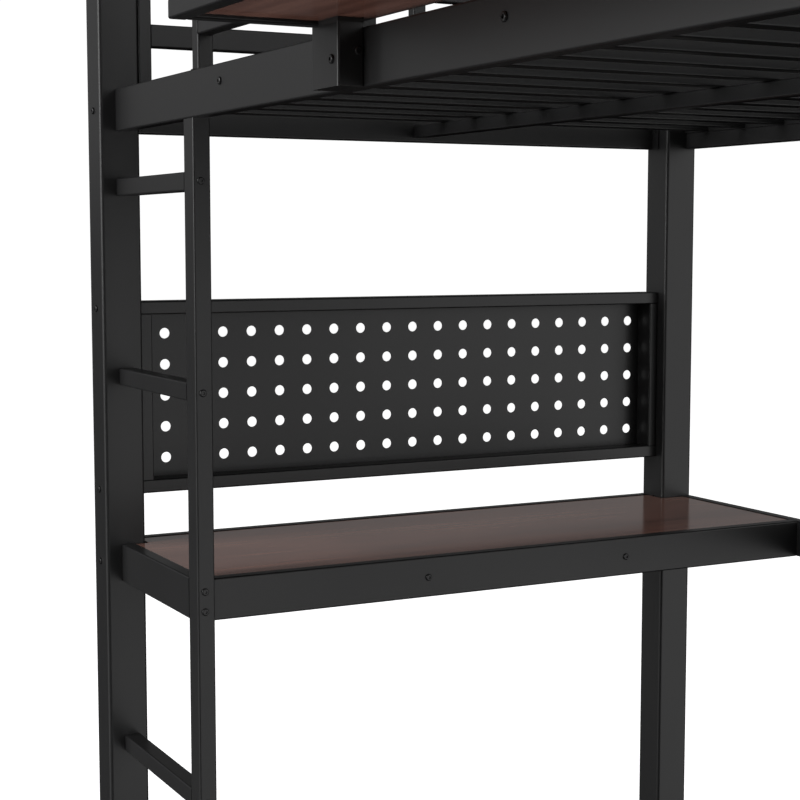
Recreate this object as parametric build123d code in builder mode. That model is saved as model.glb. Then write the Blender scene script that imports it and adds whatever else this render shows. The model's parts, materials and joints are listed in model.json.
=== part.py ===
"""Loft bed with a desk and a pegboard under its rear end, in millimetres.

The bed stands on Z = 0 with its middle over the origin. +Y runs along the mattress to the desk
end and +X runs across it, from the ladder side to the wall side. "From the left" and "from the
rear" are distances in from the outer faces of the left posts and of the rear posts.
"""

import os

from build123d import *

# Overall sizes
BED_WIDTH = 1067.5
BED_LENGTH = 1963
BED_HEIGHT = 1800

# Stock
POST = 60
LADDER_TUBE = 24
TUBE = 20
WALL = 1.5
POST_CORNER = 5
TUBE_CORNER = 2.5
END_PLATE = 3
END_PLATE_DEPTH = 36

# M6 button-head bolts, by what they hold
BOLT_SHAFT = 3
BOLT_CLEARANCE = 3.25
BOLT_HEAD = 5
HEAD_HEIGHT = 2.6
SOCKET = 2.3
SOCKET_DEPTH = 1.6
BOLT_PAIR = 27
POST_BOLT = 63
RAIL_BOLT = 30
GUARD_BOLT = 8
SHELF_BOLT = 50
BRACKET_SCREW = 6
LADDER_BOLT = 47
UPRIGHT_BOLT = 76
DESK_BOLT = 30

# Plastic feet and caps
FOOT = 8
CAP = 5
RIM = 1.5
PLUG_DEPTH = 14
PLUG_GAP = 0.2

# Bed deck
DECK_BOTTOM = 1357
DECK_TOP = 1418
RAIL_INSET = 23.5
SLAT_COUNT = 19
SLAT_PITCH = 96.4
SLAT_BOTTOM = 1383.5
STRIP = 3
STRIP_HEIGHT = 25
STRIP_BOLTS = (469.5, 1147.5, 1825.5)

# Guards round the mattress
GUARD_BAR = 33
GUARD_POST = 22
GUARD_TOP = 1799
GUARD_FOOT = 1410
GUARD_TAB_FOOT = 1362
GUARD_TAB_BOLT = 1373
BAR_COUNT = 4
END_GUARD_FIRST_BAR = 1480
END_GUARD_MIDDLE = 524
END_GUARD_BOLT = 1640
SIDE_GUARD_FIRST_BAR = 1467
SIDE_GUARD_POSTS = (331.5, 804.5, 1277.5, 1892)
SIDE_GUARD_BOLT = 1700

# Ladder, built between the rear left post and its own upright
UPRIGHT_REAR = 338.5
UPRIGHT_FRONT = 373.5
RUNG = 25
RUNG_TOPS = (181, 461.5, 1013, 1289)

# Desk
DESK_TOP = 751.5
DESK_RAIL = 57
DESK_DEPTH = 365.5
DESK_SUPPORTS = (374.5, 714.5)
BOARD = 15
BOARD_DROP = 1
NOTCH_GAP = 1

# Pegboard
PEG_BOTTOM = 821
PEG_TOP = 1109.5
PEG_DEPTH = 38.5
PEG_LEFT = 22.5
PEG_RIGHT = 16
SHEET = 1.5
PEG_PITCH = 47.5
PEG_COLUMNS = 19
PEG_ROWS = 5
PEG_HOLE = 8
PEG_GRID_X = 542.5
PEG_GRID_Z = 964

# Bedside shelf, outside the left rail
SHELF_REACH = 163.5
SHELF_OVERLAP = 37.5
SHELF_REAR = 802.5
SHELF_LENGTH = 880
SHELF_BOTTOM = 1422
BRACKET_DEPTH = 30
BRACKET_LENGTH = 64
BRACKET_SETBACK = 3
BRACKET_BOLT_INSET = 14
BRACKET_BOLT = 1385
BRACKET_SCREW_SPOT = (17, 1393)

# Places worked out from the sizes above; the origin is under the middle of the whole object
LEFT = -(BED_WIDTH + HEAD_HEIGHT - SHELF_REACH) / 2
REAR = BED_LENGTH / 2
DECK_MIDDLE = (DECK_BOTTOM + DECK_TOP) / 2
DESK_MIDDLE = DESK_TOP - DESK_RAIL / 2
BOARD_BOTTOM = DESK_TOP - BOARD_DROP - BOARD
RAIL_X = (RAIL_INSET, RAIL_INSET + TUBE)
LADDER_X = (RAIL_INSET, RAIL_INSET + LADDER_TUBE)
RIGHT_RAIL_X = (BED_WIDTH - TUBE, BED_WIDTH)
LEFT_GUARD_X = (RAIL_INSET + TUBE, RAIL_INSET + TUBE + GUARD_POST)
RIGHT_GUARD_X = (BED_WIDTH - TUBE - GUARD_POST, BED_WIDTH - TUBE)
BETWEEN_POSTS_X = (POST, BED_WIDTH - POST)
BETWEEN_POSTS_Y = (POST, BED_LENGTH - POST)
SIDES = ("left", "right")
ENDS = ("rear", "front")


def from_left(near, far):
    """The X span between two distances in from the left posts' outer faces."""
    return (LEFT + near, LEFT + far)


def from_rear(near, far):
    """The Y span between two distances in from the rear posts' rear faces."""
    return (REAR - far, REAR - near)


def end_span(end, near, far):
    """The Y span between two distances in from the rear or the front end."""
    if end == "rear":
        return from_rear(near, far)
    return (-REAR + near, -REAR + far)


def post_span(side):
    """The X span of the left or the right posts."""
    if side == "left":
        return from_left(0, POST)
    return from_left(BED_WIDTH - POST, BED_WIDTH)


def middle(span):
    return (span[0] + span[1]) / 2


def size(span):
    return span[1] - span[0]


def bar_levels(first):
    """The undersides of a guard's bars, evenly spaced up to the guard's top."""
    step = (GUARD_TOP - GUARD_BAR - first) / (BAR_COUNT - 1)
    return [first + step * index for index in range(BAR_COUNT)]


def shelf_span(near, far):
    """The Y span between two distances in from the shelf's rear edge."""
    return from_rear(SHELF_REAR + near, SHELF_REAR + far)


def bracket_spans():
    """The Y spans of the shelf's rear and front brackets."""
    far = SHELF_LENGTH - BRACKET_SETBACK
    rear = shelf_span(BRACKET_SETBACK, BRACKET_SETBACK + BRACKET_LENGTH)
    return rear, shelf_span(far - BRACKET_LENGTH, far)


# ---- Bolts: each seat is the plane a head sits on, facing out of the surface ----


def seat(x, y, z, facing):
    across = (0, 0, 1) if facing[2] == 0 else (1, 0, 0)
    return Plane(origin=(x, y, z), x_dir=across, z_dir=facing)


def seats_across(side, end):
    """Seats on a post's outer side face, for what runs across the bed."""
    x = LEFT if side == "left" else LEFT + BED_WIDTH
    facing = (-1, 0, 0) if side == "left" else (1, 0, 0)
    heights = [DECK_MIDDLE, DESK_MIDDLE]
    if end == "rear":
        heights += [PEG_TOP - TUBE / 2, PEG_BOTTOM + TUBE / 2]
    seats = [seat(x, middle(end_span(end, 0, POST)), height, facing) for height in heights]
    guard_y = middle(end_span(end, POST - TUBE, POST))
    return seats + [seat(x, guard_y, END_GUARD_BOLT, facing)]


def seats_along(side, end):
    """Seats on a post's outer end face, for what runs along the bed."""
    y = REAR if end == "rear" else -REAR
    facing = (0, 1, 0) if end == "rear" else (0, -1, 0)
    rail_x = LEFT + middle(RAIL_X if side == "left" else RIGHT_RAIL_X)
    heights = [DECK_MIDDLE - BOLT_PAIR / 2, DECK_MIDDLE + BOLT_PAIR / 2]
    if side == "right" or end == "rear":
        heights += [DESK_MIDDLE - BOLT_PAIR / 2, DESK_MIDDLE + BOLT_PAIR / 2]
    if side == "left" and end == "rear":
        heights += [top - RUNG / 2 for top in RUNG_TOPS]
    seats = [seat(rail_x, y, height, facing) for height in heights]
    if side == "right":
        seats.append(seat(LEFT + middle(RIGHT_GUARD_X), y, SIDE_GUARD_BOLT, facing))
    elif end == "front":
        seats.append(seat(LEFT + POST - 8, y, SIDE_GUARD_BOLT, facing))
    return seats


def post_seats():
    seats = []
    for side in SIDES:
        for end in ENDS:
            seats += seats_across(side, end) + seats_along(side, end)
    return seats


def strip_seats():
    """Seats on the left rail's outer face and on the right one's, for the slat strips."""
    z = SLAT_BOTTOM + STRIP_HEIGHT / 2
    left = [seat(LEFT + RAIL_INSET, REAR - place, z, (-1, 0, 0)) for place in STRIP_BOLTS]
    return left + [seat(LEFT + BED_WIDTH, REAR - place, z, (1, 0, 0)) for place in STRIP_BOLTS]


def guard_seats():
    """Seats on the left guard's tabs, for their bolts into the rail."""
    x = LEFT + LEFT_GUARD_X[0] + STRIP
    return [seat(x, REAR - place, GUARD_TAB_BOLT, (1, 0, 0)) for place in SIDE_GUARD_POSTS]


def shelf_seats():
    """Seats on the outer faces of the shelf's brackets, for their bolts into the left rail."""
    rear, front = bracket_spans()
    x = LEFT + RAIL_INSET - BRACKET_DEPTH
    places = (rear[0] + BRACKET_BOLT_INSET, front[1] - BRACKET_BOLT_INSET)
    return [seat(x, y, BRACKET_BOLT, (-1, 0, 0)) for y in places]


def bracket_seats():
    """Seats on the facing ends of the shelf's brackets."""
    rear, front = bracket_spans()
    x, z = BRACKET_SCREW_SPOT
    return [seat(LEFT + x, rear[0], z, (0, -1, 0)), seat(LEFT + x, front[1], z, (0, 1, 0))]


def ladder_seats():
    """Seats on the front of the ladder's upright, for the rungs and the desk's left rail."""
    heights = [top - RUNG / 2 for top in RUNG_TOPS]
    heights += [DESK_MIDDLE - BOLT_PAIR / 2, DESK_MIDDLE + BOLT_PAIR / 2]
    x = LEFT + middle(RAIL_X)
    return [seat(x, REAR - UPRIGHT_FRONT, height, (0, -1, 0)) for height in heights]


def upright_seats():
    """The seat on top of the left rail, for the bolt down into the ladder's upright."""
    y = REAR - (UPRIGHT_FRONT + UPRIGHT_REAR) / 2
    return [seat(LEFT + middle(RAIL_X), y, DECK_TOP, (0, 0, 1))]


def desk_seats():
    """Seats on the desk's front rail, for its supports, and on its right end's stretcher."""
    y = REAR - DESK_DEPTH
    seats = [seat(LEFT + place, y, DESK_MIDDLE, (0, -1, 0)) for place in DESK_SUPPORTS]
    seats.append(seat(LEFT + BED_WIDTH, y + TUBE / 2, DESK_MIDDLE, (1, 0, 0)))
    return seats


BOLTS = {
    "post_bolts": (POST_BOLT, post_seats()),
    "strip_bolts": (RAIL_BOLT, strip_seats()),
    "guard_bolts": (GUARD_BOLT, guard_seats()),
    "shelf_bolts": (SHELF_BOLT, shelf_seats()),
    "bracket_screws": (BRACKET_SCREW, bracket_seats()),
    "ladder_bolts": (LADDER_BOLT, ladder_seats()),
    "upright_bolt": (UPRIGHT_BOLT, upright_seats()),
    "desk_bolts": (DESK_BOLT, desk_seats()),
}


def make_bolts(name, length, seats):
    """One node with a bolt on every seat."""
    with BuildPart() as fastener:
        with BuildSketch():
            Circle(BOLT_HEAD)
        extrude(amount=HEAD_HEIGHT)
        fillet(fastener.edges().sort_by(Axis.Z)[-1], HEAD_HEIGHT * 0.7)
        with BuildSketch(Plane.XY.offset(HEAD_HEIGHT - SOCKET_DEPTH)):
            RegularPolygon(SOCKET, 6)
        extrude(amount=SOCKET_DEPTH, mode=Mode.SUBTRACT)
        with BuildSketch():
            Circle(BOLT_SHAFT)
        extrude(amount=-length)
    group([fastener.part.moved(plane.location) for plane in seats], name)


def passes(plane, length, spans):
    """Whether a bolt's shank runs through the box of a member."""
    tip = plane.origin - plane.z_dir * length
    ends = zip(plane.origin, tip, spans)
    return all(max(a, b) > span[0] and min(a, b) < span[1] for a, b, span in ends)


def drill(*spans):
    """Clearance holes in the member being built, for the bolts that run through its box."""
    for length, seats in BOLTS.values():
        for plane in seats:
            if passes(plane, length, spans):
                with Locations(plane):
                    Hole(BOLT_CLEARANCE, depth=length + PLUG_GAP)


# ---- Members ----


def keep(part, name):
    """Label a finished piece and write its file."""
    part.label = name
    export_step(part, f"parts/{name}.step")


def group(members, name):
    """Keep pieces that are welded together, or alike, as separate solids of one node."""
    keep(Compound(children=members), name)


def section(along, x, y, z):
    """The plane of a member's cross-section at its start, and its width, height and length."""
    if along == "X":
        plane = Plane(origin=(x[0], middle(y), middle(z)), x_dir=(0, 1, 0), z_dir=(1, 0, 0))
        return plane, size(y), size(z), size(x)
    if along == "Y":
        plane = Plane(origin=(middle(x), y[0], middle(z)), x_dir=(-1, 0, 0), z_dir=(0, 1, 0))
        return plane, size(x), size(z), size(y)
    plane = Plane(origin=(middle(x), middle(y), z[0]), x_dir=(1, 0, 0), z_dir=(0, 0, 1))
    return plane, size(x), size(y), size(z)


def tube(along, x, y, z, corner=TUBE_CORNER):
    """A rectangular tube that fills the spans x, y and z and is hollow along one axis."""
    plane, width, height, length = section(along, x, y, z)
    with BuildPart() as member:
        with BuildSketch(plane):
            RectangleRounded(width, height, corner)
            RectangleRounded(width - 2 * WALL, height - 2 * WALL, corner - WALL, mode=Mode.SUBTRACT)
        extrude(amount=length)
        drill(x, y, z)
    return member.part


def bar(along, x, y, z, corner=0.5):
    """A solid strip, plate or board that fills the spans x, y and z."""
    plane, width, height, length = section(along, x, y, z)
    with BuildPart() as member:
        with BuildSketch(plane):
            RectangleRounded(width, height, corner)
        extrude(amount=length)
        drill(x, y, z)
    return member.part


def end_plug(x, y, seam, outer, corner):
    """A plastic plug: a rim from the tube's end at Z = seam out to Z = outer, and a spigot."""
    below = outer < seam
    clearance = 2 * (WALL + PLUG_GAP)
    with BuildPart() as plug:
        with BuildSketch(Plane(origin=(middle(x), middle(y), seam))):
            RectangleRounded(size(x), size(y), corner)
        extrude(amount=outer - seam)
        fillet(plug.faces().sort_by(Axis.Z)[0 if below else -1].edges(), RIM)
        with BuildSketch(Plane(origin=(middle(x), middle(y), seam))):
            RectangleRounded(size(x) - clearance, size(y) - clearance, corner - WALL)
        extrude(amount=PLUG_DEPTH if below else -PLUG_DEPTH)
    return plug.part


def make_post(side, end):
    """One corner post with its foot and its top cap."""
    x = post_span(side)
    y = end_span(end, 0, POST)
    top = BED_HEIGHT - CAP
    keep(tube("Z", x, y, (FOOT, top), POST_CORNER), f"post_{end}_{side}")
    keep(end_plug(x, y, FOOT, 0, POST_CORNER), f"foot_{end}_{side}")
    keep(end_plug(x, y, top, BED_HEIGHT, POST_CORNER), f"cap_{end}_{side}")


def make_beam(end, z, name):
    """A beam between two posts, flush with their outer faces, with a bolting plate at each end."""
    left, right = BETWEEN_POSTS_X
    beam_y = end_span(end, 0, TUBE)
    plate_y = end_span(end, 0, END_PLATE_DEPTH)
    members = [
        bar("X", from_left(left, left + END_PLATE), plate_y, z),
        tube("X", from_left(left + END_PLATE, right - END_PLATE), beam_y, z),
        bar("X", from_left(right - END_PLATE, right), plate_y, z),
    ]
    group(members, name)


def make_deck_frame():
    """Side rails, end beams, and the centre beam under the slats."""
    z = (DECK_BOTTOM, DECK_TOP)
    y = from_rear(*BETWEEN_POSTS_Y)
    keep(tube("Y", from_left(*RAIL_X), y, z), "side_rail_left")
    keep(tube("Y", from_left(*RIGHT_RAIL_X), y, z), "side_rail_right")
    for end in ENDS:
        make_beam(end, z, f"{end}_beam")
    centre = (RAIL_X[1] + RIGHT_RAIL_X[0]) / 2
    centre_x = from_left(centre - TUBE / 2, centre + TUBE / 2)
    centre_y = from_rear(TUBE, BED_LENGTH - TUBE)
    keep(tube("Y", centre_x, centre_y, (SLAT_BOTTOM - TUBE, SLAT_BOTTOM)), "centre_beam")


def make_slats():
    """The tube slats side by side along the bed, and the strips at their ends."""
    z = (SLAT_BOTTOM, SLAT_BOTTOM + TUBE)
    x = from_left(RAIL_X[1] + STRIP, RIGHT_RAIL_X[0] - STRIP)
    first = BED_LENGTH / 2 - SLAT_PITCH * (SLAT_COUNT - 1) / 2
    slats = []
    for index in range(SLAT_COUNT):
        place = first + SLAT_PITCH * index
        slats.append(tube("X", x, from_rear(place - TUBE / 2, place + TUBE / 2), z))
    group(slats, "slats")
    strip_z = (SLAT_BOTTOM, SLAT_BOTTOM + STRIP_HEIGHT)
    left_x = from_left(RAIL_X[1], RAIL_X[1] + STRIP)
    edges = [BETWEEN_POSTS_Y[0]]
    for place in SIDE_GUARD_POSTS:
        edges += [place - GUARD_POST / 2, place + GUARD_POST / 2]
    pieces = [bar("Y", left_x, from_rear(*ends), strip_z) for ends in zip(edges[::2], edges[1::2])]
    group(pieces, "slat_strip_left")
    right_x = from_left(RIGHT_RAIL_X[0] - STRIP, RIGHT_RAIL_X[0])
    keep(bar("Y", right_x, from_rear(*BETWEEN_POSTS_Y), strip_z), "slat_strip_right")


def make_end_guard(end):
    """The welded guard between the two posts at one end."""
    y = end_span(end, POST - TUBE, POST)
    z = (GUARD_FOOT, GUARD_TOP)
    left, right = BETWEEN_POSTS_X
    bays = [
        (left + TUBE, END_GUARD_MIDDLE - GUARD_POST / 2),
        (END_GUARD_MIDDLE + GUARD_POST / 2, right - TUBE),
    ]
    members = [tube("Z", from_left(left, bays[0][0]), y, z)]
    members.append(tube("Z", from_left(bays[0][1], bays[1][0]), y, (END_GUARD_FIRST_BAR, GUARD_TOP)))
    members.append(tube("Z", from_left(bays[1][1], right), y, z))
    for bay in bays:
        for level in bar_levels(END_GUARD_FIRST_BAR):
            members.append(tube("X", from_left(*bay), y, (level, level + GUARD_BAR)))
    group(members, f"{end}_guard")


def guard_bay(x, near, far):
    """A side guard's bars between two of its uprights."""
    y = from_rear(near + GUARD_POST / 2, far - GUARD_POST / 2)
    levels = bar_levels(SIDE_GUARD_FIRST_BAR)
    return [tube("Y", x, y, (level, level + GUARD_BAR)) for level in levels]


def make_left_guard():
    """The welded guard on the ladder side, which stops short to leave the ladder's opening."""
    x = from_left(*LEFT_GUARD_X)
    tab_x = from_left(LEFT_GUARD_X[0], LEFT_GUARD_X[0] + STRIP)
    members = []
    for place in SIDE_GUARD_POSTS:
        y = from_rear(place - GUARD_POST / 2, place + GUARD_POST / 2)
        members.append(tube("Z", x, y, (GUARD_FOOT, GUARD_TOP)))
        members.append(bar("Z", tab_x, y, (GUARD_TAB_FOOT, GUARD_FOOT)))
    for near, far in zip(SIDE_GUARD_POSTS, SIDE_GUARD_POSTS[1:]):
        members += guard_bay(x, near, far)
    group(members, "left_guard")


def make_right_guard():
    """The welded guard on the wall side, which runs the whole way between the posts."""
    x = from_left(*RIGHT_GUARD_X)
    places = (BETWEEN_POSTS_Y[0] + GUARD_POST / 2, *SIDE_GUARD_POSTS[1:])
    members = []
    for place in places:
        y = from_rear(place - GUARD_POST / 2, place + GUARD_POST / 2)
        members.append(tube("Z", x, y, (GUARD_FOOT, GUARD_TOP)))
    for near, far in zip(places, places[1:]):
        members += guard_bay(x, near, far)
    group(members, "right_guard")


def make_ladder():
    """The ladder's upright with its foot, and the rungs between it and the rear left post."""
    x = from_left(*LADDER_X)
    y = from_rear(UPRIGHT_REAR, UPRIGHT_FRONT)
    keep(tube("Z", x, y, (FOOT, DECK_BOTTOM)), "ladder_upright")
    keep(end_plug(x, y, FOOT, 0, TUBE_CORNER), "foot_ladder")
    for number, top in enumerate(RUNG_TOPS, 1):
        rung = tube("Y", x, from_rear(POST, UPRIGHT_REAR), (top - RUNG, top))
        keep(rung, f"ladder_rung_{number}")


def make_desk_frame():
    """The rails round the desk, the long stretcher that closes it, and the board's supports."""
    z = (DESK_TOP - DESK_RAIL, DESK_TOP)
    front_y = from_rear(DESK_DEPTH - TUBE, DESK_DEPTH)
    keep(tube("X", from_left(LADDER_X[1], RIGHT_RAIL_X[0]), front_y, z), "desk_front_rail")
    keep(tube("Y", from_left(*RAIL_X), from_rear(POST, UPRIGHT_REAR), z), "desk_left_rail")
    keep(tube("Y", from_left(*RIGHT_RAIL_X), from_rear(*BETWEEN_POSTS_Y), z), "right_stretcher")
    make_beam("rear", z, "desk_rear_rail")
    make_beam("front", z, "front_stretcher")
    support_y = from_rear(TUBE, DESK_DEPTH - TUBE)
    for number, place in enumerate(DESK_SUPPORTS, 1):
        x = from_left(place - TUBE / 2, place + TUBE / 2)
        support = tube("Y", x, support_y, (BOARD_BOTTOM - TUBE, BOARD_BOTTOM))
        keep(support, f"desk_support_{number}")


def make_desk_board():
    """The desk's board, set between its rails, notched round the rear posts and the ladder."""
    x = from_left(RAIL_X[1], RIGHT_RAIL_X[0])
    y = from_rear(TUBE, DESK_DEPTH - TUBE)
    notch = 2 * (POST + END_PLATE + NOTCH_GAP)
    ladder_x = from_left(*LADDER_X)
    ladder_y = from_rear(UPRIGHT_REAR - NOTCH_GAP, UPRIGHT_FRONT + NOTCH_GAP)
    with BuildPart() as board:
        with BuildSketch(Plane.XY.offset(BOARD_BOTTOM)):
            with Locations((middle(x), middle(y))):
                Rectangle(size(x), size(y))
            with Locations((LEFT, REAR), (LEFT + BED_WIDTH, REAR)):
                Rectangle(notch, notch, mode=Mode.SUBTRACT)
            with Locations((middle(ladder_x), middle(ladder_y))):
                Rectangle(size(ladder_x) + 2 * NOTCH_GAP, size(ladder_y), mode=Mode.SUBTRACT)
        extrude(amount=BOARD)
    keep(board.part, "desk_board")


def make_pegboard():
    """A welded tube frame between the rear posts, and the perforated sheet on its back."""
    y = from_rear(SHEET, PEG_DEPTH)
    z = (PEG_BOTTOM, PEG_TOP)
    left, right = BETWEEN_POSTS_X
    upright_z = (PEG_BOTTOM + TUBE, PEG_TOP - TUBE)
    x = from_left(left, right)
    members = [
        tube("X", x, y, (PEG_TOP - TUBE, PEG_TOP)),
        tube("X", x, y, (PEG_BOTTOM, PEG_BOTTOM + TUBE)),
        tube("Z", from_left(left, left + PEG_LEFT), y, upright_z),
        tube("Z", from_left(right - PEG_RIGHT, right), y, upright_z),
    ]
    group(members, "pegboard_frame")
    with BuildPart() as sheet:
        with BuildSketch(Plane.XZ.offset(-REAR)):
            with Locations((middle(x), middle(z))):
                Rectangle(size(x), size(z))
            with Locations((LEFT + PEG_GRID_X, PEG_GRID_Z)):
                with GridLocations(PEG_PITCH, PEG_PITCH, PEG_COLUMNS, PEG_ROWS):
                    Circle(PEG_HOLE, mode=Mode.SUBTRACT)
        extrude(amount=SHEET)
    keep(sheet.part, "pegboard_sheet")


def make_bracket(y, name):
    """A box bracket that stands on the left rail's outer face, closed at the bottom."""
    x = from_left(RAIL_INSET - BRACKET_DEPTH, RAIL_INSET)
    with BuildPart() as bracket:
        with BuildSketch(Plane(origin=(middle(x), middle(y), DECK_BOTTOM))):
            RectangleRounded(size(x), size(y), TUBE_CORNER)
        extrude(amount=SHELF_BOTTOM - DECK_BOTTOM)
        with BuildSketch(Plane(origin=(middle(x), middle(y), DECK_BOTTOM + WALL))):
            RectangleRounded(size(x) - 2 * WALL, size(y) - 2 * WALL, TUBE_CORNER - WALL)
        extrude(amount=SHELF_BOTTOM - DECK_BOTTOM, mode=Mode.SUBTRACT)
        drill(x, y, (DECK_BOTTOM, SHELF_BOTTOM))
    keep(bracket.part, name)


def make_shelf():
    """The bedside shelf: a tube frame open towards the bed, its board, pads and brackets."""
    z = (SHELF_BOTTOM, SHELF_BOTTOM + TUBE)
    board_bottom = z[1] - BOARD
    arms_x = from_left(TUBE - SHELF_REACH, SHELF_OVERLAP)
    outer_x = from_left(-SHELF_REACH, TUBE - SHELF_REACH)
    members = [
        tube("Y", outer_x, shelf_span(0, SHELF_LENGTH), z),
        tube("X", arms_x, shelf_span(0, TUBE), z),
        tube("X", arms_x, shelf_span(SHELF_LENGTH - TUBE, SHELF_LENGTH), z),
    ]
    group(members, "shelf_frame")
    board_y = shelf_span(TUBE, SHELF_LENGTH - TUBE)
    keep(bar("Y", arms_x, board_y, (board_bottom, z[1])), "shelf_board")
    rear, front = bracket_spans()
    make_bracket(rear, "shelf_bracket_rear")
    make_bracket(front, "shelf_bracket_front")
    pad_x = from_left(RAIL_INSET - BRACKET_DEPTH, RAIL_INSET)
    pads_y = [(rear[0], board_y[1]), (board_y[0], front[1])]
    pads = [bar("X", pad_x, pad_y, (SHELF_BOTTOM, board_bottom)) for pad_y in pads_y]
    group(pads, "shelf_pads")


os.makedirs("parts", exist_ok=True)
for side in SIDES:
    for end in ENDS:
        make_post(side, end)
for end in ENDS:
    make_end_guard(end)
for name, (length, seats) in BOLTS.items():
    make_bolts(name, length, seats)
make_left_guard()
make_right_guard()
make_deck_frame()
make_slats()
make_ladder()
make_desk_frame()
make_desk_board()
make_pegboard()
make_shelf()
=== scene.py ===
# %% [markdown]
# # A loft bed with a desk
#
# The bed is a frame of black coated steel tubes. Its slatted deck is at head height, with a desk,
# a pegboard and a ladder at its rear end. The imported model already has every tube, board and bolt
# at its real size, so this lesson gives them their finishes, adds the weld beads, and sets the
# light and the camera.

import json
import math

import bmesh
import bpy
from mathutils import Matrix, Vector


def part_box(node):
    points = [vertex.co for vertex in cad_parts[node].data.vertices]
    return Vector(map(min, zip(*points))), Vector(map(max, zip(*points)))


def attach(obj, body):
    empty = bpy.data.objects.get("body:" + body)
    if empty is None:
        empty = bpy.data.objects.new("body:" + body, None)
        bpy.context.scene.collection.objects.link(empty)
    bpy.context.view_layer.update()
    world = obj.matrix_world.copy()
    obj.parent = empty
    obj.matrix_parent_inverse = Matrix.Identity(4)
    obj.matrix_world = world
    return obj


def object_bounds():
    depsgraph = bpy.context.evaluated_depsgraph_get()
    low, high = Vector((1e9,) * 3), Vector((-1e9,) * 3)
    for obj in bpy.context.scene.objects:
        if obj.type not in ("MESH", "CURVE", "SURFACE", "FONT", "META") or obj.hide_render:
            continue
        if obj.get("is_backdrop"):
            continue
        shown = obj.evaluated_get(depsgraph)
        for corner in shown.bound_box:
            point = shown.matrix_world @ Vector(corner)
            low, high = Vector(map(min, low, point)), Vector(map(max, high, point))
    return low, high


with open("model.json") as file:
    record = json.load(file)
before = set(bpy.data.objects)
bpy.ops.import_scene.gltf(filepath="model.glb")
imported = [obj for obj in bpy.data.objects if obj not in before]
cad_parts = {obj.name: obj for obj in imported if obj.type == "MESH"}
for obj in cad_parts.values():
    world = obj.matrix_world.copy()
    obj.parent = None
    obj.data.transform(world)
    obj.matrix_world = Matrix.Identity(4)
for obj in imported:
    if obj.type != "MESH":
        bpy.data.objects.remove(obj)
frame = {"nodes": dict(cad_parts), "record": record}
nodes = frame["nodes"]
cad_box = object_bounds()
slots = {part["node"]: part["material_slot"] for part in frame["record"]["subparts"]}
print("the bed's box in metres:", cad_box)

# %% [markdown]
# Most of the looks depend on a few places: the outer corner of the rear left post, which the
# camera is measured from, and the middle of the bed, which the lights point at.

# %% The places that the rest is measured from
MM = 0.001
post_low, post_high = (Vector(corner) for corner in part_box("post_rear_left"))
corner = Vector((post_low.x, post_high.y, 0))
bed_middle = sum((Vector(point) for point in cad_box), Vector()) / 2
print("rear left corner:", tuple(corner), "middle:", tuple(bed_middle))

# %% [markdown]
# A finish is a network of nodes. Written as arithmetic it is much easier to read, so a socket is
# wrapped in a class whose operators add the Math nodes.


# %% Shader arithmetic
class Value:
    """A number that changes over a surface, as the output of a node."""

    def __init__(self, network, socket):
        self.network = network
        self.socket = socket

    def math(self, operation, other):
        return self.network.node("ShaderNodeMath", {"operation": operation}, self, other)

    def __add__(self, other):
        return self.math("ADD", other)

    def __mul__(self, other):
        return self.math("MULTIPLY", other)

    __radd__ = __add__
    __rmul__ = __mul__


print("arithmetic on sockets: + and *")

# %% [markdown]
# Every other node comes from one method, which takes the node's type, its settings and what goes
# into its sockets. It works the same way in a material and in the surroundings, so it belongs to a
# class of its own.


# %% One method for every node
class Network:
    """A tree of nodes."""

    def __init__(self, tree):
        self.tree = tree

    def node(self, kind, settings, *values, output=0, **named):
        made = self.tree.nodes.new(kind)
        for key, setting in settings.items():
            if key == "stops":
                self.set_stops(made, setting)
            else:
                setattr(made, key, setting)
        for place, value in [*enumerate(values), *named.items()]:
            self.feed(made.inputs[place], value)
        return Value(self, made.outputs[output])

    def set_stops(self, ramp, stops):
        elements = ramp.color_ramp.elements
        while len(elements) < len(stops):
            elements.new(1.0)
        for element, (position, colour) in zip(elements, stops):
            element.position = position
            element.color = (*colour, 1.0)

    def feed(self, socket, value):
        if isinstance(value, Value):
            self.tree.links.new(value.socket, socket)
        else:
            socket.default_value = value


print("every node comes from Network.node")

# %% [markdown]
# A material is a network with one surface shader, Principled BSDF, at its end. Patterns are placed
# by Object coordinates, which are metres on the bed itself.


# %% A finish
class Finish(Network):
    """A material with a Principled surface."""

    def __init__(self, name):
        self.material = bpy.data.materials.new(name)
        self.material.use_nodes = True
        super().__init__(self.material.node_tree)
        self.surface = self.tree.nodes["Principled BSDF"]

    def set(self, **inputs):
        for name, value in inputs.items():
            self.feed(self.surface.inputs[name.replace("_", " ")], value)

    def place(self):
        """Where a point is on the object, in metres."""
        return self.node("ShaderNodeTexCoord", {}, output="Object")

    def noise(self, place, scale, detail=2.0, roughness=0.5):
        inputs = {"Vector": place, "Scale": scale, "Detail": detail, "Roughness": roughness}
        return self.node("ShaderNodeTexNoise", {}, **inputs)


print("a finish is a network with a Principled surface")

# %% [markdown]
# The steel has a smooth black powder coat. It is so dark that nearly all one sees of it is what
# it reflects, so its gloss matters more than its colour. Real coats vary a little in gloss, which
# a broad, faint noise gives.


# %% Black powder coat
COAT_IOR = 1.45
COAT_SHINE = 0.36
COOL_TINT = 1.02


def black_coat(name, tone, smoothest, roughest):
    """A black coat whose roughness wanders between two values."""
    finish = Finish(name)
    mottle = finish.noise(finish.place(), scale=9.0, detail=3.0)
    finish.set(Base_Color=(tone, tone, tone * COOL_TINT, 1.0))
    finish.set(Roughness=mottle * (roughest - smoothest) + smoothest)
    finish.set(IOR=COAT_IOR, Specular_IOR_Level=COAT_SHINE)
    return finish.material


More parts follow.
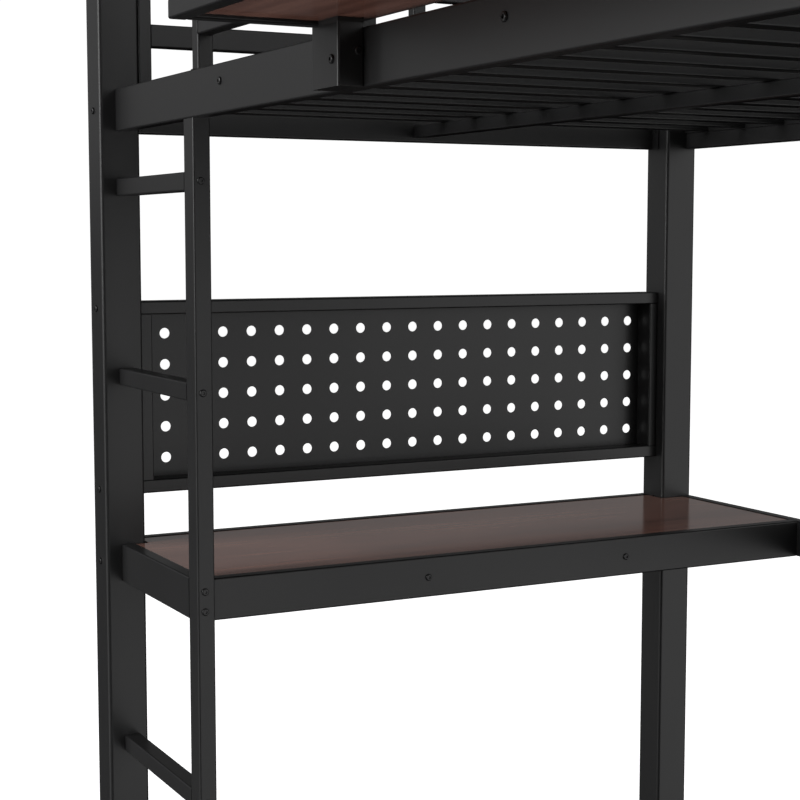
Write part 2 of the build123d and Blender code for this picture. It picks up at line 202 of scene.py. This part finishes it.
coat = black_coat("black_coat", tone=0.015, smoothest=0.30, roughest=0.36)
sheet_coat = black_coat("black_sheet_coat", tone=0.015, smoothest=0.30, roughest=0.36)
bolt_black = black_coat("black_oxide_bolt", tone=0.014, smoothest=0.22, roughest=0.30)
print("coats:", coat.name, sheet_coat.name, bolt_black.name)

# %% [markdown]
# The caps, feet and pads are moulded plastic and rubber. They are dull, with the fine grain of
# the mould in their surface.


# %% Plastic and rubber
GRAIN_DEPTH = 0.4 * MM


def dull_black(name, tone, roughness, grain):
    """A dull black with a fine grain of the given strength."""
    finish = Finish(name)
    height = finish.noise(finish.place(), scale=900.0)
    bump = finish.node("ShaderNodeBump", {}, Strength=grain, Distance=GRAIN_DEPTH, Height=height)
    finish.set(Base_Color=(tone, tone, tone, 1.0), Roughness=roughness, Normal=bump)
    return finish.material


plastic = dull_black("moulded_plastic", tone=0.02, roughness=0.55, grain=0.15)
rubber = dull_black("rubber_pad", tone=0.015, roughness=0.75, grain=0.25)
print("dull blacks:", plastic.name, rubber.name)

# %% [markdown]
# The boards are chipboard with a walnut laminate. Its grain is long streaks along the board, so
# the noise behind it is stretched: its coordinates are squeezed along the grain. Broad bands of
# darker and redder wood come from a second, slower noise, and fine pores from a third.


# %% Walnut laminate
STRETCH = 0.07
BAND_SHARE, STREAK_SHARE, PORE_SHARE = 0.55, 0.35, 0.10
SMOOTHEST_LAMINATE, STREAK_ROUGHNESS = 0.10, 0.10
LAMINATE_IOR = 1.45
WALNUT_STOPS = [
    (0.34, (0.130, 0.058, 0.044)),
    (0.47, (0.238, 0.110, 0.083)),
    (0.55, (0.300, 0.144, 0.108)),
    (0.66, (0.390, 0.205, 0.156)),
]


def walnut(name, along):
    """Walnut with its grain along X or Y."""
    finish = Finish(name)
    squeeze = [1.0, 1.0, 1.0]
    squeeze["XYZ".index(along)] = STRETCH
    place = finish.node("ShaderNodeMapping", {}, Vector=finish.place(), Scale=squeeze)
    streaks = finish.noise(place, scale=60.0, detail=5.0, roughness=0.6)
    bands = finish.noise(place, scale=11.0, detail=3.0)
    pores = finish.noise(place, scale=420.0)
    figure = bands * BAND_SHARE + streaks * STREAK_SHARE + pores * PORE_SHARE
    colour = finish.node("ShaderNodeValToRGB", {"stops": WALNUT_STOPS}, figure)
    finish.set(Base_Color=colour, IOR=LAMINATE_IOR)
    finish.set(Roughness=streaks * STREAK_ROUGHNESS + SMOOTHEST_LAMINATE)
    return finish.material


desk_walnut = walnut("walnut_across_the_bed", "X")
shelf_walnut = walnut("walnut_along_the_bed", "Y")
print("boards:", desk_walnut.name, shelf_walnut.name)

# %% [markdown]
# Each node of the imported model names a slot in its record. The finish for that slot goes in the
# object's own material slots; the two boards differ only in which way their grain runs.

# %% Give every part its finish
finishes = {
    "frame": coat,
    "sheet": sheet_coat,
    "bolts": bolt_black,
    "plastic": plastic,
    "rubber": rubber,
    "board": desk_walnut,
}
for name, part in nodes.items():
    finish = shelf_walnut if name == "shelf_board" else finishes[slots[name]]
    for material_slot in part.material_slots:
        material_slot.material = finish
print(len(nodes), "parts finished")

# %% [markdown]
# The guards are welded, and a weld leaves a small smooth bead round the end of each tube. To find
# those ends, each guard's mesh is copied, merged and split into its separate tubes. The frames of
# the pegboard and the shelf are left plain: their tubes share corner points, so they can't be told
# apart this way.


# %% Find the separate tubes of a guard
MERGE = 1e-6


def connected(start):
    """Every vertex that can be reached from one along edges."""
    found = {start}
    waiting = [start]
    while waiting:
        vertex = waiting.pop()
        for edge in vertex.link_edges:
            other = edge.other_vert(vertex)
            if other not in found:
                found.add(other)
                waiting.append(other)
    return found


def tube_boxes(part):
    """The lowest and highest corner of every separate tube in a part's mesh."""
    mesh = bmesh.new()
    mesh.from_mesh(part.data)
    bmesh.ops.remove_doubles(mesh, verts=mesh.verts, dist=MERGE)
    unseen = set(mesh.verts)
    boxes = []
    while unseen:
        tube = connected(next(iter(unseen)))
        unseen -= tube
        low = Vector(min(vertex.co[axis] for vertex in tube) for axis in range(3))
        high = Vector(max(vertex.co[axis] for vertex in tube) for axis in range(3))
        boxes.append((low, high))
    mesh.free()
    return boxes


GUARDS = ("rear_guard", "front_guard", "left_guard", "right_guard")
guard_tubes = {name: tube_boxes(nodes[name]) for name in GUARDS}
print({name: len(boxes) for name, boxes in guard_tubes.items()})

# %% [markdown]
# A bead follows the outline of the tube's end: a rectangle with rounded corners.

# %% The path of a bead
CORNER = 3 * MM
CORNER_POINTS = 7
QUARTERS = ((1, 1), (-1, 1), (-1, -1), (1, -1))


def outline(half_width, half_height):
    """Points anticlockwise round a rectangle with rounded corners."""
    points = []
    for quarter, (right, top) in enumerate(QUARTERS):
        centre = Vector((right * (half_width - CORNER), top * (half_height - CORNER)))
        for step in range(CORNER_POINTS):
            angle = (quarter + step / (CORNER_POINTS - 1)) * math.pi / 2
            points.append(centre + CORNER * Vector((math.cos(angle), math.sin(angle))))
    return points


print("points in a bead's path:", len(outline(10 * MM, 10 * MM)))

# %% [markdown]
# Each point of the path gets a small ring, made by the circle operator and turned square to the
# path, and the bridge operator joins each ring to the next. The spin operator would make the
# corners too, but not the straight sides between them.

# %% The skin of a bead
BEAD = 1.3 * MM
RING_POINTS = 6


def ring_edges(ring):
    """The edges of one ring, each once."""
    corners = set(ring)
    edges = {edge for vertex in ring for edge in vertex.link_edges}
    return [edge for edge in edges if set(edge.verts) <= corners]


def add_bead(mesh, centre, along, size):
    """One bead round the end of a tube of that size; along is the tube's axis, 0, 1 or 2."""
    side_axis, up_axis = (axis for axis in range(3) if axis != along)
    across, up = Vector(), Vector()
    across[side_axis] = up[up_axis] = 1.0
    forward = across.cross(up)
    points = outline(size[side_axis] / 2, size[up_axis] / 2)
    rings = []
    for index, point in enumerate(points):
        path = (points[(index + 1) % len(points)] - points[index - 1]).normalized()
        outward = across * path.y - up * path.x
        turn = Matrix((outward, forward, outward.cross(forward))).transposed().to_4x4()
        spot = Matrix.Translation(centre + across * point.x + up * point.y)
        ring = bmesh.ops.create_circle(mesh, segments=RING_POINTS, radius=BEAD, matrix=spot @ turn)
        rings.append(ring_edges(ring["verts"]))
    for index, ring in enumerate(rings):
        bmesh.ops.bridge_loops(mesh, edges=rings[index - 1] + ring)


print("a bead is", 2 * BEAD / MM, "mm thick")

# %% [markdown]
# An end gets a bead only if it lies against another tube of its guard, so the open ends stay clean.

# %% Weld beads
TOUCH = 0.5 * MM


def meets(centre, box, boxes):
    """Whether the middle of a tube's end lies on or in the box of another tube."""
    others = [other for other in boxes if other is not box]
    return any(
        all(low[axis] - TOUCH <= centre[axis] <= high[axis] + TOUCH for axis in range(3))
        for low, high in others
    )


def make_beads(name, boxes):
    """The weld beads of one guard, as one piece."""
    mesh = bmesh.new()
    for box in boxes:
        low, high = box
        size = high - low
        along = max(range(3), key=lambda axis: size[axis])
        for end in (low[along], high[along]):
            centre = (low + high) / 2
            centre[along] = end
            if meets(centre, box, boxes):
                add_bead(mesh, centre, along, size)
    bmesh.ops.recalc_face_normals(mesh, faces=mesh.faces)
    for face in mesh.faces:
        face.smooth = True
    data = bpy.data.meshes.new(name)
    mesh.to_mesh(data)
    mesh.free()
    piece = bpy.data.objects.new(name, data)
    bpy.context.scene.collection.objects.link(piece)
    data.materials.append(coat)
    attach(piece, "root")
    return piece


for name, boxes in guard_tubes.items():
    beads = make_beads(f"{name}_welds", boxes)
    print(beads.name, len(beads.data.polygons), "faces")

# %% [markdown]
# The studio's floor is pale and gives a little light of its own, so that it stays an even white. It
# is kept out of reflections, because the steel's undersides would go pale.

# %% Floor
FLOOR_SIZE = 60.0
FLOOR_TONE = 0.9
FLOOR_ROUGHNESS = 0.9
FLOOR_GLOW = 0.97
WHITE = (1.0, 1.0, 1.0, 1.0)
floor_mesh = bmesh.new()
bmesh.ops.create_grid(floor_mesh, x_segments=1, y_segments=1, size=FLOOR_SIZE / 2)
floor_data = bpy.data.meshes.new("floor")
floor_mesh.to_mesh(floor_data)
floor_mesh.free()
floor = bpy.data.objects.new("floor", floor_data)
bpy.context.scene.collection.objects.link(floor)
pale = Finish("pale_floor")
pale.set(Base_Color=(FLOOR_TONE, FLOOR_TONE, FLOOR_TONE, 1.0), Roughness=FLOOR_ROUGHNESS)
pale.set(Emission_Color=WHITE, Emission_Strength=FLOOR_GLOW)
floor_data.materials.append(pale.material)
floor.visible_glossy = False
floor.visible_diffuse = False
floor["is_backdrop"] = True
print("floor", FLOOR_SIZE, "m wide")

# %% [markdown]
# The air round the bed is plain white to the camera but dim to the steel, and brightest just above
# the horizon. So the faces that turn up, down and away go nearly black, as they do when a black
# object stands in front of a white sheet and is lit from the sides.

# %% Surroundings
GLOW_BY_HEIGHT = [(0.0, 0.0), (0.05, 0.20), (0.22, 0.20), (0.38, 0.02)]
WHITE_TO_CAMERA = 1.05
world = bpy.data.worlds.new("white_studio")
bpy.context.scene.world = world
world.use_nodes = True
air = Network(world.node_tree)
background = air.tree.nodes["Background"]
facing = air.node("ShaderNodeTexCoord", {}, output="Generated")
height = air.node("ShaderNodeSeparateXYZ", {}, output="Z", Vector=facing)
greys = [(position, (level, level, level)) for position, level in GLOW_BY_HEIGHT]
glow = air.node("ShaderNodeValToRGB", {"stops": greys}, height)
seen = air.node("ShaderNodeLightPath", {}, output="Is Camera Ray")
strength = air.node("ShaderNodeMix", {}, output="Result", Factor=seen, A=glow, B=WHITE_TO_CAMERA)
air.feed(background.inputs["Strength"], strength)
air.feed(background.inputs["Color"], WHITE)
print("surroundings glow by height:", GLOW_BY_HEIGHT)

# %% [markdown]
# Soft boxes stand to the left and to the front right, at the height of the bed. Each is a large
# area light that faces the middle of the bed. They give the upright faces their even grey. One more
# lies on the floor and lifts the undersides a little, as a pale floor would.


# %% Soft boxes
LAMP_TARGET = 1.3


def soft_box(name, compass, height, distance, size, power):
    """A square light in watts and metres, compass degrees clockwise from +Y, facing the bed."""
    turn = math.radians(compass)
    light = bpy.data.lights.new(name, "AREA")
    light.shape = "SQUARE"
    light.size = size
    light.energy = power
    lamp = bpy.data.objects.new(name, light)
    level = Vector((math.sin(turn), math.cos(turn), 0)) * distance
    away = level + Vector((0, 0, height - LAMP_TARGET))
    lamp.location = Vector((bed_middle.x, bed_middle.y, LAMP_TARGET)) + away
    lamp.rotation_euler = (-away).to_track_quat("-Z", "Y").to_euler()
    lamp.visible_camera = False
    bpy.context.scene.collection.objects.link(lamp)
    return lamp


soft_box("left_box", compass=-62, height=1.3, distance=12.0, size=12.0, power=360)
soft_box("high_left_box", compass=-80, height=3.6, distance=7.0, size=5.0, power=480)
soft_box("front_right_box", compass=154, height=1.3, distance=12.0, size=16.0, power=1250)
bounce = soft_box("floor_bounce", compass=-90, height=0.02, distance=1.9, size=2.5, power=28)
bounce.rotation_euler = (math.pi, 0.0, 0.0)
bounce.visible_glossy = False
print("lights:", [light.name for light in bpy.data.lights])

# %% [markdown]
# The camera stands outside the bed's left side near its front end, a little above the desk, and
# looks across to the desk. A long lens keeps the posts nearly parallel.

# %% Camera
CAMERA_OFFSET = Vector((-759.0, -2444.0, 1200.8)) * MM
LOOK_RIGHT = math.radians(27.622)
LOOK_DOWN = math.radians(5.423)
LENS = 76.05
SENSOR = 36.0
camera_data = bpy.data.cameras.new("camera")
camera_data.lens = LENS
camera_data.sensor_width = SENSOR
camera = bpy.data.objects.new("camera", camera_data)
camera.location = corner + CAMERA_OFFSET
camera.rotation_euler = (math.pi / 2 - LOOK_DOWN, 0.0, -LOOK_RIGHT)
bpy.context.scene.collection.objects.link(camera)
bpy.context.scene.camera = camera
bpy.context.scene.view_settings.view_transform = "Standard"
print("camera at", tuple(camera.location))

# %% [markdown]
# Last, the sizes of the imported model and of the finished one are printed side by side, so that
# they can be compared.

# %% Print the sizes and finish
boxes = {"cad": [list(point) for point in cad_box]}
boxes["visual"] = [list(point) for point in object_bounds()]
print("sizes:", boxes)
